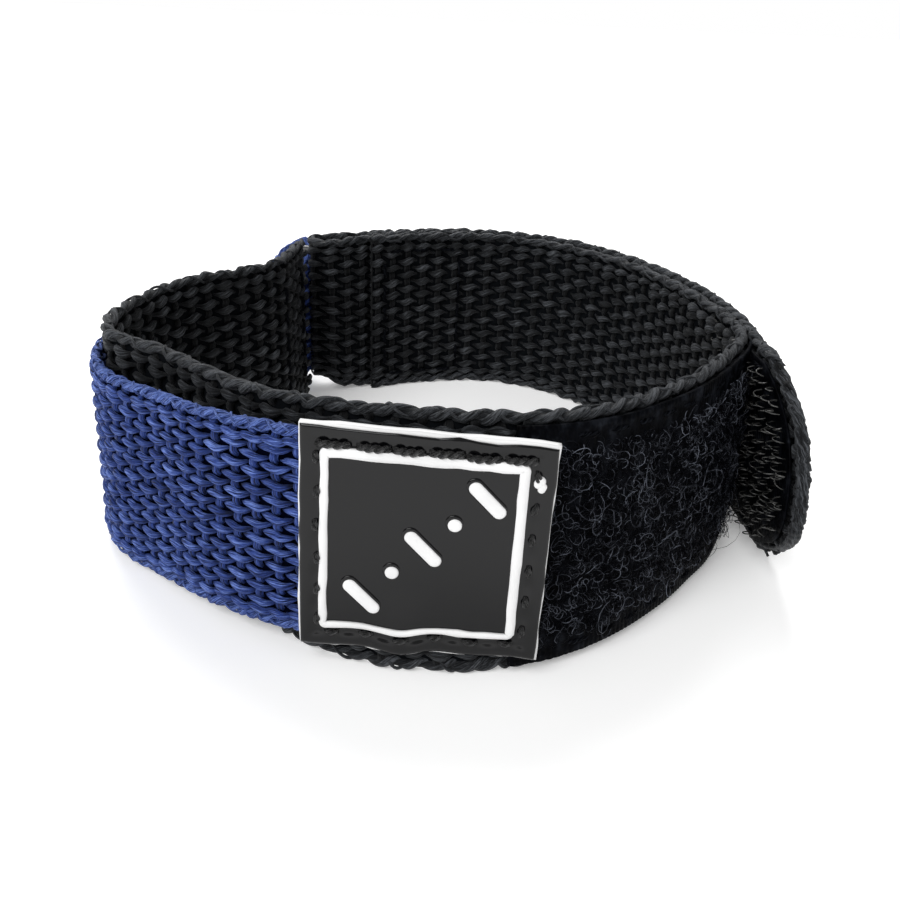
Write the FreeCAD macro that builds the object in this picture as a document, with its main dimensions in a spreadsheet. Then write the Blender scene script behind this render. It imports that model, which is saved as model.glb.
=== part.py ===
"""Hook-and-loop wrist strap: two-tone webbing band, return ring, pile and hook tapes, sewn patch.

The strap stands on its lower edge. +Z is up, the patch faces -Y and the origin is on the
standing plane, in the middle of the strap's outline. All sizes are in millimetres.
"""
import FreeCAD
import Part
import math
import os
from collections import namedtuple

DIMENSIONS = {
    # webbing
    "band_width": 20.0,
    "webbing_thickness": 1.4,
    "layer_gap": 0.1,
    "blue_width": 17.2,
    "blue_lift": 0.9,
    "gathered_width": 12.8,
    "gathered_lift": 5.15,
    # where the inner band starts, beside the ring
    "band_start_x": -18.13,
    "band_start_y": 21.59,
    "band_start_heading": -97.0,
    # laps and free lengths
    "anchor_lap": 12.0,
    "blue_return_lap": 12.0,
    "fold_lead": 3.0,
    "tail_bend_length": 3.0,
    # return ring
    "wire_radius": 0.7,
    "ring_rail_low": 3.9,
    "ring_rail_high": 19.2,
    "ring_corner_radius": 1.2,
    # hook and pile tapes
    "pile_width": 18.4,
    "pile_thickness": 0.7,
    "pile_start": 75.0,
    "pile_length": 39.5,
    "hook_width": 18.0,
    "hook_thickness": 0.45,
    "hook_engaged_length": 6.0,
    "tail_corner_radius": 6.0,
    "hook_corner_radius": 5.0,
    # sewn patch
    "patch_side": 17.6,
    "patch_centre_x": -1.1,
    "patch_back_y": -30.56,
    "patch_centre_z": 10.4,
    "patch_turn": -1.0,
    "patch_tilt": 2.5,
    "patch_corner_radius": 0.4,
    "backing_thickness": 0.35,
    "face_thickness": 0.45,
    "relief_height": 0.15,
    "frame_inset": 1.75,
    "frame_line": 0.8,
    "mark_width": 1.0,
    "mark_length": 3.4,
    "mark_spacing": 3.0,
    # sewing
    "thread_radius": 0.16,
    "stitch_pitch": 2.5,
    "stitch_length": 1.7,
    "patch_stitch_inset": 0.95,
    "tape_stitch_inset": 0.9,
    "clearance": 0.02,
}

# A centreline is a chain of tangent runs: each has a length in mm and a turn in degrees,
# positive to the left. The band is laid anticlockwise, seen from above, starting at the ring.
BAND_RUNS = [
    (8, 6), (9, -46), (9, 31), (9, 17),      # inside the left side, pushed in by the blue lap
    (4.5, 60),                               # left bend
    (9, -17), (8, 15), (9.5, 23),            # front left, towards the patch
    (10.5, 20), (10.5, 24), (8.5, 21),       # behind the patch and the pile tape
    (7, 10), (9.5, 38),                      # front right and right side
    (14, 8), (14, 25), (12, 44), (12.5, 28)  # right back and back, to the cut end
]
ANCHOR_RUNS = [(5.4, -28)]                   # from behind the band's cut end to the ring
FOLD_TURN = -168
STRAP_RUNS = [(10, 10), (13, -34), (15, -41), (15, -21), (14.5, -12)]
TAIL_RUNS = [(6, -4), (11.5, -16)]
BLUE_TO_RING_RUNS = [(3.2, -30)]
BLUE_FOLD_TURN = 190
BLUE_RUNS = [
    (4, 15), (12.5, -5), (16.5, 6), (8.5, 20),  # outside the left side
    (6, 48),                                    # left bend
    (7.5, -4), (7.5, 8), (5.5, 13)               # front left, ending under the patch
]

Path = namedtuple("Path", "x y heading runs")


# ---------------------------------------------------------------- centrelines


def step(x, y, heading, length, turn):
    """The far end of one run: a straight, or an arc tangent to the heading."""
    if abs(turn) < 1e-9:
        a = math.radians(heading)
        return x + length * math.cos(a), y + length * math.sin(a), heading
    radius = length / math.radians(turn)
    a, b = math.radians(heading), math.radians(heading + turn)
    x += radius * (math.sin(b) - math.sin(a))
    y -= radius * (math.cos(b) - math.cos(a))
    return x, y, heading + turn


def end_of(path):
    x, y, heading = path.x, path.y, path.heading
    for length, turn in path.runs:
        x, y, heading = step(x, y, heading, length, turn)
    return x, y, heading


def length_of(path):
    return sum(length for length, _ in path.runs)


def stretch(path, start, stop):
    """The part of a path between two distances along it."""
    before, inside, at = [], [], 0.0
    for length, turn in path.runs:
        low, high = max(at, start), min(at + length, stop)
        if min(at + length, start) > at:
            used = min(at + length, start) - at
            before.append((used, turn * used / length))
        if high - low > 1e-9:
            inside.append((high - low, turn * (high - low) / length))
        at += length
    return Path(*end_of(path._replace(runs=before)), inside)


def beside(path, distance):
    """A path at a constant distance to the right of this one."""
    a = math.radians(path.heading)
    runs = [(length + distance * math.radians(turn), turn) for length, turn in path.runs]
    return Path(path.x + distance * math.sin(a), path.y - distance * math.cos(a), path.heading, runs)


def backwards(path):
    x, y, heading = end_of(path)
    return Path(x, y, heading + 180, [(length, -turn) for length, turn in reversed(path.runs)])


def onwards(path, runs):
    """A new path that goes on from the end of this one."""
    return Path(*end_of(path), list(runs))


def joined(*paths):
    return paths[0]._replace(runs=[run for path in paths for run in path.runs])


def side_edges(path, distance):
    """The curves of a path's right side, at a distance from its centreline."""
    path = beside(path, distance)
    x, y, heading = path.x, path.y, path.heading
    edges = []
    for length, turn in path.runs:
        mid = step(x, y, heading, length / 2, turn / 2)
        end = step(x, y, heading, length, turn)
        points = [FreeCAD.Vector(px, py, 0) for px, py, _ in ((x, y, 0), mid, end)]
        if abs(turn) < 1e-9:
            edges.append(Part.LineSegment(points[0], points[2]))
        else:
            edges.append(Part.Arc(*points))
        x, y, heading = end
    return edges


def ribbon_outline(path, thickness):
    """The closed outline of a ribbon seen from above."""
    right = side_edges(path, thickness / 2)
    left = side_edges(path, -thickness / 2)
    caps = [
        Part.LineSegment(left[0].StartPoint, right[0].StartPoint),
        Part.LineSegment(left[-1].EndPoint, right[-1].EndPoint),
    ]
    return right + left + caps


# ---------------------------------------------------------------- document


def make_sheet(doc):
    sheet = doc.addObject("Spreadsheet::Sheet", "Dimensions")
    for row, (alias, value) in enumerate(DIMENSIONS.items(), start=1):
        sheet.set(f"A{row}", alias)
        sheet.set(f"B{row}", str(value))
        sheet.setAlias(f"B{row}", alias)
    doc.recompute()
    return sheet


def origin_plane(body, role):
    return next(f for f in body.Origin.OriginFeatures if f.Role == role)


def new_body(doc, label):
    body = doc.addObject("PartDesign::Body", label)
    body.Label = label
    return body


def new_sketch(body, name, geometry, role="XY_Plane"):
    sketch = body.newObject("Sketcher::SketchObject", name)
    sketch.AttachmentSupport = [(origin_plane(body, role), "")]
    sketch.MapMode = "FlatFace"
    sketch.addGeometry(geometry, False)
    return sketch


def ribbon(doc, label, path, thickness, width, lift=None):
    """A strip of webbing or tape on edge, as wide as one cell of the sheet and lifted by another."""
    body = new_body(doc, label)
    sketch = new_sketch(body, label + "_outline", ribbon_outline(path, thickness))
    pad = body.newObject("PartDesign::Pad", label + "_strip")
    pad.Profile = sketch
    pad.setExpression("Length", width)
    if lift:
        body.setExpression("Placement.Base.z", lift)
    doc.recompute()
    return body


def round_tip(doc, body, path, radius):
    """Rounds the two corners of a strip at the far end of its path."""
    x, y, _ = end_of(path)
    tip = FreeCAD.Vector(x, y, 0)
    pad = body.Tip
    box = pad.Shape.BoundBox
    corners = []
    for index, edge in enumerate(pad.Shape.Edges, start=1):
        middle = edge.CenterOfMass
        flat = abs(middle.z - box.ZMin) < 1e-6 or abs(middle.z - box.ZMax) < 1e-6
        if flat and FreeCAD.Vector(middle.x, middle.y, 0).distanceToPoint(tip) < 1e-3:
            corners.append(f"Edge{index}")
    fillet = body.newObject("PartDesign::Fillet", body.Label + "_corners")
    fillet.Base = (pad, corners)
    fillet.setExpression("Radius", radius)
    doc.recompute()


def notch_below(doc, body, centre, half_size, depth):
    """Cuts a strip's lower edge away inside a square, where it is gathered to pass the ring."""
    x, y = centre
    corners = [
        FreeCAD.Vector(x + sx * half_size, y + sy * half_size, 0)
        for sx, sy in ((-1, -1), (1, -1), (1, 1), (-1, 1))
    ]
    sides = [Part.LineSegment(a, b) for a, b in zip(corners, corners[1:] + corners[:1])]
    sketch = new_sketch(body, body.Label + "_gather", sides)
    pocket = body.newObject("PartDesign::Pocket", body.Label + "_gathered")
    pocket.Profile = sketch
    pocket.Reversed = True
    pocket.setExpression("Length", depth)
    doc.recompute()


def primitive(doc, kind, name, sizes, placement):
    item = doc.addObject(kind, name)
    for prop, expression in sizes.items():
        item.setExpression(prop, expression)
    item.Placement = placement
    return item


def fused(doc, label, items, placement):
    fuse = doc.addObject("Part::MultiFuse", label)
    fuse.Label = label
    fuse.Shapes = items
    fuse.Refine = False
    fuse.Placement = placement
    return fuse


def place(x=0.0, y=0.0, z=0.0, axis=(0, 0, 1), angle=0.0):
    return FreeCAD.Placement(
        FreeCAD.Vector(x, y, z), FreeCAD.Rotation(FreeCAD.Vector(*axis), angle)
    )


# ---------------------------------------------------------------- ring


def make_ring(doc, sheet, left_bar, right_bar):
    """A flat rectangular wire ring on edge, round-cornered, with one bar for each webbing."""
    dx, dy = right_bar[0] - left_bar[0], right_bar[1] - left_bar[1]
    span = math.hypot(dx, dy)
    corner = sheet.ring_corner_radius
    low, high = sheet.ring_rail_low, sheet.ring_rail_high
    wire = {"Radius": "Dimensions.wire_radius"}
    bar = dict(wire, Height="Dimensions.ring_rail_high - Dimensions.ring_rail_low"
                            " - 2 * Dimensions.ring_corner_radius")
    items = [
        primitive(doc, "Part::Cylinder", f"ring_bar_{side}", bar, place(x, 0, low + corner))
        for side, x in (("left", 0), ("right", span))
    ]
    for side, z in (("low", low), ("high", high)):
        rail = primitive(doc, "Part::Cylinder", f"ring_rail_{side}", wire,
                         place(corner, 0, z, (0, 1, 0), 90))
        rail.Height = span - 2 * corner
        items.append(rail)
    bend = {
        "Radius1": "Dimensions.ring_corner_radius",
        "Radius2": "Dimensions.wire_radius",
    }
    corners = [(span - corner, high - corner, 0), (corner, high - corner, 90),
               (corner, low + corner, 180), (span - corner, low + corner, 270)]
    for number, (x, z, angle) in enumerate(corners):
        frame = FreeCAD.Rotation(FreeCAD.Vector(1, 0, 0), 90)
        turn = FreeCAD.Rotation(FreeCAD.Vector(0, 0, 1), angle)
        torus = primitive(doc, "Part::Torus", f"ring_corner_{number}", bend,
                          FreeCAD.Placement(FreeCAD.Vector(x, 0, z), frame * turn))
        torus.Angle3 = 90
        items.append(torus)
    angle = math.degrees(math.atan2(dy, dx))
    return fused(doc, "return_ring", items, place(left_bar[0], left_bar[1], 0, angle=angle))


# ---------------------------------------------------------------- patch


def patch_frame_placement(sheet, depth):
    """Where a patch layer lies: x along the patch, y into the strap, z up, at a depth from its back."""
    turn = FreeCAD.Rotation(FreeCAD.Vector(0, 0, 1), sheet.patch_turn)
    tilt = FreeCAD.Rotation(FreeCAD.Vector(0, 1, 0), sheet.patch_tilt)
    rotation = turn * tilt
    middle = FreeCAD.Vector(sheet.patch_centre_x, sheet.patch_back_y, sheet.patch_centre_z)
    return FreeCAD.Placement(middle + rotation.multVec(FreeCAD.Vector(0, -depth, 0)), rotation)


def square_loop(half, radius):
    """A square outline with rounded corners, in a sketch's own plane."""
    flat = half - radius
    edges = []
    for turn in range(4):
        a = math.radians(90 * turn)
        c, s = math.cos(a), math.sin(a)

        def spin(x, y):
            return FreeCAD.Vector(c * x - s * y, s * x + c * y, 0)

        bulge = flat + radius * math.sqrt(0.5)
        edges.append(Part.LineSegment(spin(half, -flat), spin(half, flat)))
        edges.append(Part.Arc(spin(half, flat), spin(bulge, bulge), spin(flat, half)))
    return edges


def patch_layer(doc, sheet, label, loops, depth, thickness):
    """A flat layer of the patch, padded forwards from a depth in front of the patch's back."""
    body = new_body(doc, label)
    sketch = new_sketch(body, label + "_outline", loops, "XZ_Plane")
    pad = body.newObject("PartDesign::Pad", label + "_sheet")
    pad.Profile = sketch
    pad.setExpression("Length", thickness)
    body.Placement = patch_frame_placement(sheet, depth)
    doc.recompute()
    return body


def make_marks(doc, sheet, depth):
    """Raised plain marks in a diagonal row: round-ended bars with dots between them."""
    radius = sheet.mark_width / 2
    disc = {"Radius": "Dimensions.mark_width / 2", "Height": "Dimensions.relief_height"}
    bar = {
        "Length": "Dimensions.mark_length - Dimensions.mark_width",
        "Width": "Dimensions.mark_width",
        "Height": "Dimensions.relief_height",
    }
    items = []
    half = (sheet.mark_length - sheet.mark_width) / 2
    slope = math.sqrt(0.5)
    for number in range(-2, 3):
        x = y = number * sheet.mark_spacing * slope
        if number % 2:
            items.append(primitive(doc, "Part::Cylinder", f"mark_dot_{number + 2}", disc, place(x, y)))
            continue
        ends = [(x - half * slope, y + half * slope), (x + half * slope, y - half * slope)]
        for side, (ex, ey) in enumerate(ends):
            name = f"mark_end_{number + 2}_{side}"
            items.append(primitive(doc, "Part::Cylinder", name, disc, place(ex, ey)))
        corner = (ends[0][0] - radius * slope, ends[0][1] - radius * slope)
        items.append(primitive(doc, "Part::Box", f"mark_bar_{number + 2}", bar,
                               place(corner[0], corner[1], angle=-45)))
    upright = FreeCAD.Placement(FreeCAD.Vector(), FreeCAD.Rotation(FreeCAD.Vector(1, 0, 0), 90))
    return fused(doc, "patch_marks", items, patch_frame_placement(sheet, depth) * upright)


# ---------------------------------------------------------------- sewing


def stitch(sheet, middle, direction, length=None):
    """One visible stitch: a short thread with round ends."""
    radius = sheet.thread_radius
    half = (length or sheet.stitch_length) / 2 - radius
    direction = FreeCAD.Vector(direction).normalize()
    start = middle - direction * half
    thread = Part.makeCylinder(radius, 2 * half, start, direction)
    ends = [Part.makeSphere(radius, middle + direction * (side * half)) for side in (-1, 1)]
    return thread.fuse(ends)


def stitch_group(doc, label, stitches, placement=None):
    group = doc.addObject("Part::Feature", label)
    group.Label = label
    group.Shape = Part.makeCompound(stitches)
    group.Placement = placement or FreeCAD.Placement()
    return group


def rows_along(sheet, path, distance, heights, start, stop):
    """Stitches that follow a ribbon's side in level rows."""
    stitches = []
    count = max(1, int((stop - start) / sheet.stitch_pitch))
    for number in range(count):
        at = start + (number + 0.5) * (stop - start) / count
        x, y, heading = end_of(beside(stretch(path, 0, at), distance))
        a = math.radians(heading)
        for z in heights:
            middle = FreeCAD.Vector(x, y, z)
            stitches.append(stitch(sheet, middle, (math.cos(a), math.sin(a), 0)))
    return stitches


def column_at(sheet, path, distance, at, low, high):
    """Upright stitches one above the other, across a ribbon."""
    count = max(1, int((high - low) / sheet.stitch_pitch))
    x, y, _ = end_of(beside(stretch(path, 0, at), distance))
    heights = [low + (number + 0.5) * (high - low) / count for number in range(count)]
    return [stitch(sheet, FreeCAD.Vector(x, y, z), (0, 0, 1)) for z in heights]


def patch_stitches(doc, sheet, depth):
    """The lockstitches between the patch's edge and its raised frame."""
    line = sheet.patch_side / 2 - sheet.patch_stitch_inset
    count = int(2 * line / sheet.stitch_pitch)
    stitches = []
    for number in range(count):
        at = -line + (number + 0.5) * 2 * line / count
        for side in (-line, line):
            stitches.append(stitch(sheet, FreeCAD.Vector(at, 0, side), (1, 0, 0)))
            stitches.append(stitch(sheet, FreeCAD.Vector(side, 0, at), (0, 0, 1)))
    return stitch_group(doc, "patch_stitches", stitches, patch_frame_placement(sheet, depth))


# ---------------------------------------------------------------- the strap


def build():
    doc = FreeCAD.newDocument("wrist_strap")
    sheet = make_sheet(doc)
    thick, gap = sheet.webbing_thickness, sheet.layer_gap
    layer = thick + gap
    bend_radius = sheet.wire_radius + gap + thick / 2
    surface = thick / 2 + sheet.clearance + sheet.thread_radius
    cell = "Dimensions.{}".format

    band = Path(sheet.band_start_x, sheet.band_start_y, sheet.band_start_heading, BAND_RUNS)
    band_length = length_of(band)
    lap = stretch(band, band_length - sheet.anchor_lap, band_length)
    anchor = joined(beside(lap, layer), Path(0, 0, 0, ANCHOR_RUNS))
    turned = onwards(anchor, [(bend_radius * math.radians(-FOLD_TURN), FOLD_TURN)])
    strap = onwards(turned, STRAP_RUNS)
    fold = joined(turned, stretch(strap, 0, sheet.fold_lead))
    half_bend = sheet.tail_bend_length / 2
    engaged_stop = length_of(strap) - half_bend
    strap_rigid = stretch(strap, sheet.fold_lead, engaged_stop)
    whole_tail = joined(strap, Path(0, 0, 0, TAIL_RUNS))
    peel_line = length_of(strap)
    tail_bend = stretch(whole_tail, peel_line - half_bend, peel_line + half_bend)
    tail = stretch(whole_tail, peel_line + half_bend, length_of(whole_tail))

    blue_lap = backwards(beside(stretch(band, 0, sheet.blue_return_lap), layer))
    blue_to_ring = joined(blue_lap, Path(0, 0, 0, BLUE_TO_RING_RUNS))
    blue_fold = (bend_radius * math.radians(BLUE_FOLD_TURN), BLUE_FOLD_TURN)
    blue = joined(blue_to_ring, Path(0, 0, 0, [blue_fold] + BLUE_RUNS))

    right_bar = end_of(beside(anchor, bend_radius))[:2]
    left_bar = end_of(beside(blue_to_ring, -bend_radius))[:2]

    width = cell("band_width")
    parts = [
        ribbon(doc, "inner_band", band, thick, width),
        ribbon(doc, "strap_anchor", anchor, thick, width),
        ribbon(doc, "strap_fold", fold, thick, cell("gathered_width"), cell("gathered_lift")),
        ribbon(doc, "strap_run", strap_rigid, thick, width),
        ribbon(doc, "tail_bend", tail_bend, thick, width),
        ribbon(doc, "strap_tail", tail, thick, width),
        ribbon(doc, "blue_band", blue, thick, cell("blue_width"), cell("blue_lift")),
        make_ring(doc, sheet, left_bar, right_bar),
    ]
    round_tip(doc, parts[5], tail, cell("tail_corner_radius"))
    notch_below(doc, parts[6], left_bar, bend_radius + thick,
                "Dimensions.gathered_lift - Dimensions.blue_lift")

    pile_offset = thick / 2 + gap / 2 + sheet.pile_thickness / 2
    pile_stop = sheet.pile_start + sheet.pile_length
    pile = beside(stretch(band, sheet.pile_start, pile_stop), pile_offset)
    hook_offset = thick / 2 + gap / 2 + sheet.hook_thickness / 2
    engaged = stretch(strap, engaged_stop - sheet.hook_engaged_length, engaged_stop)
    hook_run = beside(engaged, hook_offset)
    hook_tail = beside(tail, hook_offset)
    tapes = [
        ribbon(doc, "pile_tape", pile, sheet.pile_thickness, cell("pile_width"),
               "(Dimensions.band_width - Dimensions.pile_width) / 2"),
        ribbon(doc, "hook_tape_run", hook_run, sheet.hook_thickness, cell("hook_width"),
               "(Dimensions.band_width - Dimensions.hook_width) / 2"),
        ribbon(doc, "hook_tape_tail", hook_tail, sheet.hook_thickness, cell("hook_width"),
               "(Dimensions.band_width - Dimensions.hook_width) / 2"),
    ]
    round_tip(doc, tapes[2], hook_tail, cell("hook_corner_radius"))
    parts += tapes

    half = sheet.patch_side / 2
    outline = square_loop(half, sheet.patch_corner_radius)
    frame_half = half - sheet.frame_inset
    frame = square_loop(frame_half, 0.9) + square_loop(frame_half - sheet.frame_line, 0.3)
    front = sheet.backing_thickness + sheet.face_thickness
    parts += [
        patch_layer(doc, sheet, "patch_backing", outline, 0, cell("backing_thickness")),
        patch_layer(doc, sheet, "patch_face", outline, sheet.backing_thickness, cell("face_thickness")),
        patch_layer(doc, sheet, "patch_frame", frame, front, cell("relief_height")),
        make_marks(doc, sheet, front),
        patch_stitches(doc, sheet, front + sheet.clearance + sheet.thread_radius),
    ]

    low, high = sheet.tape_stitch_inset, sheet.band_width - sheet.tape_stitch_inset
    inset = (sheet.band_width - sheet.pile_width) / 2 + sheet.tape_stitch_inset
    pile_face = sheet.pile_thickness / 2 + sheet.clearance + sheet.thread_radius
    hook_face = sheet.hook_thickness / 2 + sheet.clearance + sheet.thread_radius
    pile_rows = (inset, sheet.band_width - inset)
    hook_end = length_of(hook_tail) - sheet.hook_corner_radius
    lap_start, lap_stop = band_length - sheet.anchor_lap + 1, band_length - 1.5
    anchor_sewing = rows_along(sheet, band, -surface, (low + 1, high - 1), lap_start, lap_stop)
    for at in (lap_start, lap_stop):
        anchor_sewing += column_at(sheet, band, -surface, at, low + 2, high - 2)
    blue_sewing = []
    for at in (3.0, 9.5):
        blue_sewing += column_at(sheet, band, -surface, at, low + 2, high - 2)
    pile_sewing = rows_along(sheet, pile, pile_face, pile_rows, 4, length_of(pile) - 11)
    hook_sewing = rows_along(sheet, hook_tail, hook_face, pile_rows, 4, hook_end)
    parts += [
        stitch_group(doc, "anchor_stitches", anchor_sewing),
        stitch_group(doc, "blue_loop_stitches", blue_sewing),
        stitch_group(doc, "pile_stitches", pile_sewing),
        stitch_group(doc, "hook_stitches", hook_sewing),
    ]
    doc.recompute()
    report(parts, strap, right_bar, left_bar, blue, band_length, whole_tail)
    return doc, parts


def report(parts, strap, right_bar, left_bar, blue, band_length, whole_tail):
    box = FreeCAD.BoundBox()
    for part in parts:
        box.add(part.Shape.BoundBox)
    print("bounds", [round(v, 3) for v in (box.XMin, box.XMax, box.YMin, box.YMax, box.ZMin, box.ZMax)])
    print("right bar", right_bar, "left bar", left_bar)
    print("peel line", end_of(strap))
    print("blue end", end_of(blue))
    print("lengths: band", band_length, "blue", length_of(blue), "strap", length_of(whole_tail))


def check(doc, parts):
    for item in doc.Objects:
        if "Invalid" in item.State or "Error" in item.State:
            raise RuntimeError(f"{item.Name} failed: {item.State}")
    for part in parts:
        if part.Shape.isNull() or not part.Shape.isValid():
            raise RuntimeError(f"{part.Label} has no valid shape")


def export(parts):
    os.makedirs("parts", exist_ok=True)
    for part in parts:
        part.Shape.exportStep(f"parts/{part.Label}.step")


document, nodes = build()
check(document, nodes)
export(nodes)
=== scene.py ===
"""Looks of the hook-and-loop wrist strap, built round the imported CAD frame.

Paths and offsets are in millimetres, as in the CAD source, and become metres when a mesh is made.
"""
import math
from collections import namedtuple

import bpy
import numpy as np
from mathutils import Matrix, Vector


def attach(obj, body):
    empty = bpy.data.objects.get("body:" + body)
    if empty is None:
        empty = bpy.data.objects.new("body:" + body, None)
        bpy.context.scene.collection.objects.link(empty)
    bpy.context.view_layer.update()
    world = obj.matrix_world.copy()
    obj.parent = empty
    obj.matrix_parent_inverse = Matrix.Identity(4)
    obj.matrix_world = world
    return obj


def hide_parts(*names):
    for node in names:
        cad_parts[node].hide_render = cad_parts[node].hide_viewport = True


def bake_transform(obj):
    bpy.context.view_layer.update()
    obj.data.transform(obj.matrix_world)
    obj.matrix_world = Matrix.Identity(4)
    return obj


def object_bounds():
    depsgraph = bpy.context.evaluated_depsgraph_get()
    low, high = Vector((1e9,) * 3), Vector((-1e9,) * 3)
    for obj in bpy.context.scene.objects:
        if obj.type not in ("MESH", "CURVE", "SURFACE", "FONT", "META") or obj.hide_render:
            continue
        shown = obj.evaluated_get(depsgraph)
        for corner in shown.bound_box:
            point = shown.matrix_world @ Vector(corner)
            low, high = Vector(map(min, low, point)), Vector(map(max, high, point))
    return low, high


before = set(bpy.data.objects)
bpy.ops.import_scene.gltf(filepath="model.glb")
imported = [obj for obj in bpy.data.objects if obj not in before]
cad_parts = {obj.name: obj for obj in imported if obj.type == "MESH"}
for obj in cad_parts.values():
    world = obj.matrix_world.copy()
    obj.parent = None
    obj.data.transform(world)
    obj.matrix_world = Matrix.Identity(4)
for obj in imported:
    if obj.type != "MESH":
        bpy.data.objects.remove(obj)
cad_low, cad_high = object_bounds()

MM = 0.001
SEED = 20

# -------- camera, floor and light

CAMERA_PLACE = (0.788, -82.18, 44.116)
CAMERA_DOWN = 26.388
CAMERA_ROLL = 2.54
CAMERA_LENS = 34.8
WORLD_LIGHT = 0.42
FLOOR_SIZE = 30.0
FLOOR_GLOW = 0.2
SUNS = (("key", (0.5, 0.75, -0.9), 2.2), ("back", (0.2, -0.9, -0.9), 2.6))
SUN_SOFTNESS = 40


def make_camera():
    data = bpy.data.cameras.new("camera")
    data.lens, data.sensor_width = CAMERA_LENS, 36
    data.clip_start, data.clip_end = 0.002, 60
    camera = bpy.data.objects.new("camera", data)
    camera.location = [v * MM for v in CAMERA_PLACE]
    camera.rotation_euler = (math.radians(90 - CAMERA_DOWN), 0, 0)
    camera.rotation_euler.rotate_axis("Z", math.radians(CAMERA_ROLL))
    bpy.context.scene.collection.objects.link(camera)
    bpy.context.scene.camera = camera


def sun_light(name, towards, strength, softness):
    """A soft, even light that shines along a direction."""
    data = bpy.data.lights.new(name, "SUN")
    data.energy, data.angle = strength, math.radians(softness)
    light = bpy.data.objects.new(name, data)
    light.rotation_euler = Vector(towards).to_track_quat("-Z", "Y").to_euler()
    bpy.context.scene.collection.objects.link(light)


def make_world():
    """White behind the floor's far edge, and a dimmer even light on the object."""
    world = bpy.data.worlds.new("studio")
    bpy.context.scene.world = world
    world.use_nodes = True
    tree = world.node_tree
    background = tree.nodes["Background"]
    background.inputs["Color"].default_value = (1, 1, 1, 1)
    path = tree.nodes.new("ShaderNodeLightPath")
    strength = tree.nodes.new("ShaderNodeMix")
    strength.inputs["A"].default_value = WORLD_LIGHT
    strength.inputs["B"].default_value = 1.0
    tree.links.new(path.outputs["Is Camera Ray"], strength.inputs["Factor"])
    tree.links.new(strength.outputs["Result"], background.inputs["Strength"])


def make_studio():
    make_world()
    for name, towards, strength in SUNS:
        sun_light(name, towards, strength, SUN_SOFTNESS)
    bpy.ops.mesh.primitive_plane_add(size=FLOOR_SIZE, location=(0, 0, cad_low.z))
    floor = bpy.context.object
    floor.name = "floor"
    paper = plain_material("floor", (0.9, 0.9, 0.9), 0.75)
    shader = paper.node_tree.nodes["Principled BSDF"]
    shader.inputs["Emission Color"].default_value = (1, 1, 1, 1)
    shader.inputs["Emission Strength"].default_value = FLOOR_GLOW
    floor.data.materials.append(paper)
    view = bpy.context.scene.view_settings
    view.view_transform, view.look, view.exposure = "Standard", "None", 0.0


# -------- materials


def new_material(name):
    material = bpy.data.materials.new(name)
    material.use_nodes = True
    tree = material.node_tree
    return material, tree, tree.nodes["Principled BSDF"]


def plain_material(name, colour, roughness, gloss=0.5):
    material, _, shader = new_material(name)
    shader.inputs["Specular IOR Level"].default_value = gloss
    shader.inputs["Base Color"].default_value = (*colour, 1)
    shader.inputs["Roughness"].default_value = roughness
    return material


def link(tree, a, b):
    tree.links.new(a, b)


def node(tree, kind, **values):
    made = tree.nodes.new(kind)
    for key, value in values.items():
        if key in made.inputs:
            made.inputs[key].default_value = value
        else:
            setattr(made, key, value)
    return made


def ramp(tree, source, stops):
    made = tree.nodes.new("ShaderNodeValToRGB")
    elements = made.color_ramp.elements
    while len(elements) < len(stops):
        elements.new(0.5)
    for element, (at, colour) in zip(elements, stops):
        element.position = at
        element.color = (*colour, 1)
    link(tree, source, made.inputs["Fac"])
    return made.outputs["Color"]


def math_node(tree, operation, *values):
    made = node(tree, "ShaderNodeMath", operation=operation)
    for socket, value in zip(made.inputs, values):
        if hasattr(value, "is_output"):
            link(tree, value, socket)
        else:
            socket.default_value = value
    return made.outputs[0]


def attribute(tree, name):
    return node(tree, "ShaderNodeAttribute", attribute_name=name)


def yarn_noise(tree, yarn, stretch, **values):
    """Noise drawn out along the strand."""
    mapping = node(tree, "ShaderNodeMapping", Scale=stretch)
    link(tree, yarn.outputs["Vector"], mapping.inputs["Vector"])
    noise = node(tree, "ShaderNodeTexNoise", **values)
    link(tree, mapping.outputs["Vector"], noise.inputs["Vector"])
    return noise.outputs["Fac"]


def add_bump(tree, shader, height, strength, distance):
    relief = node(tree, "ShaderNodeBump", Strength=strength, Distance=distance)
    link(tree, height, relief.inputs["Height"])
    link(tree, relief.outputs["Normal"], shader.inputs["Normal"])


def yarn_material(name, dark, middle, light, sheen=0.0, tint=None, roughness=0.5, strands=2.4, gloss=0.12):
    """Multifilament yarn: fine streaks along each strand, in colour and bump, darker at a low tone. The tone
    attribute carries painted shade where it is low and painted highlight where it is above 1.
    """
    material, tree, shader = new_material(name)
    yarn = attribute(tree, "yarn")
    streaks = yarn_noise(tree, yarn, (strands, strands, 0.45), Scale=1.5, Detail=3.0, Roughness=0.65)
    wear = yarn_noise(tree, yarn, (0.4, 0.4, 0.35), Scale=1.0, Detail=2.0)
    level = math_node(tree, "MULTIPLY_ADD", streaks, 2.6, -0.9)
    shade = math_node(tree, "MULTIPLY_ADD", wear, 0.25, level)
    # tone scales the colour: painted shade in float valleys and on wefts, painted highlight on the corded
    # edges
    toned = math_node(tree, "MULTIPLY", shade, attribute(tree, "tone").outputs["Fac"])
    link(tree, ramp(tree, toned, [(0.14, dark), (0.48, middle), (0.95, light)]), shader.inputs["Base Color"])
    link(tree, math_node(tree, "MULTIPLY_ADD", streaks, 0.3, roughness - 0.15), shader.inputs["Roughness"])
    shader.inputs["Specular IOR Level"].default_value = gloss
    if sheen:
        shader.inputs["Sheen Weight"].default_value = sheen
        shader.inputs["Sheen Roughness"].default_value = 0.4
        shader.inputs["Sheen Tint"].default_value = (*tint, 1)
    add_bump(tree, shader, streaks, 1.0, 0.0003)
    return material


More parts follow.
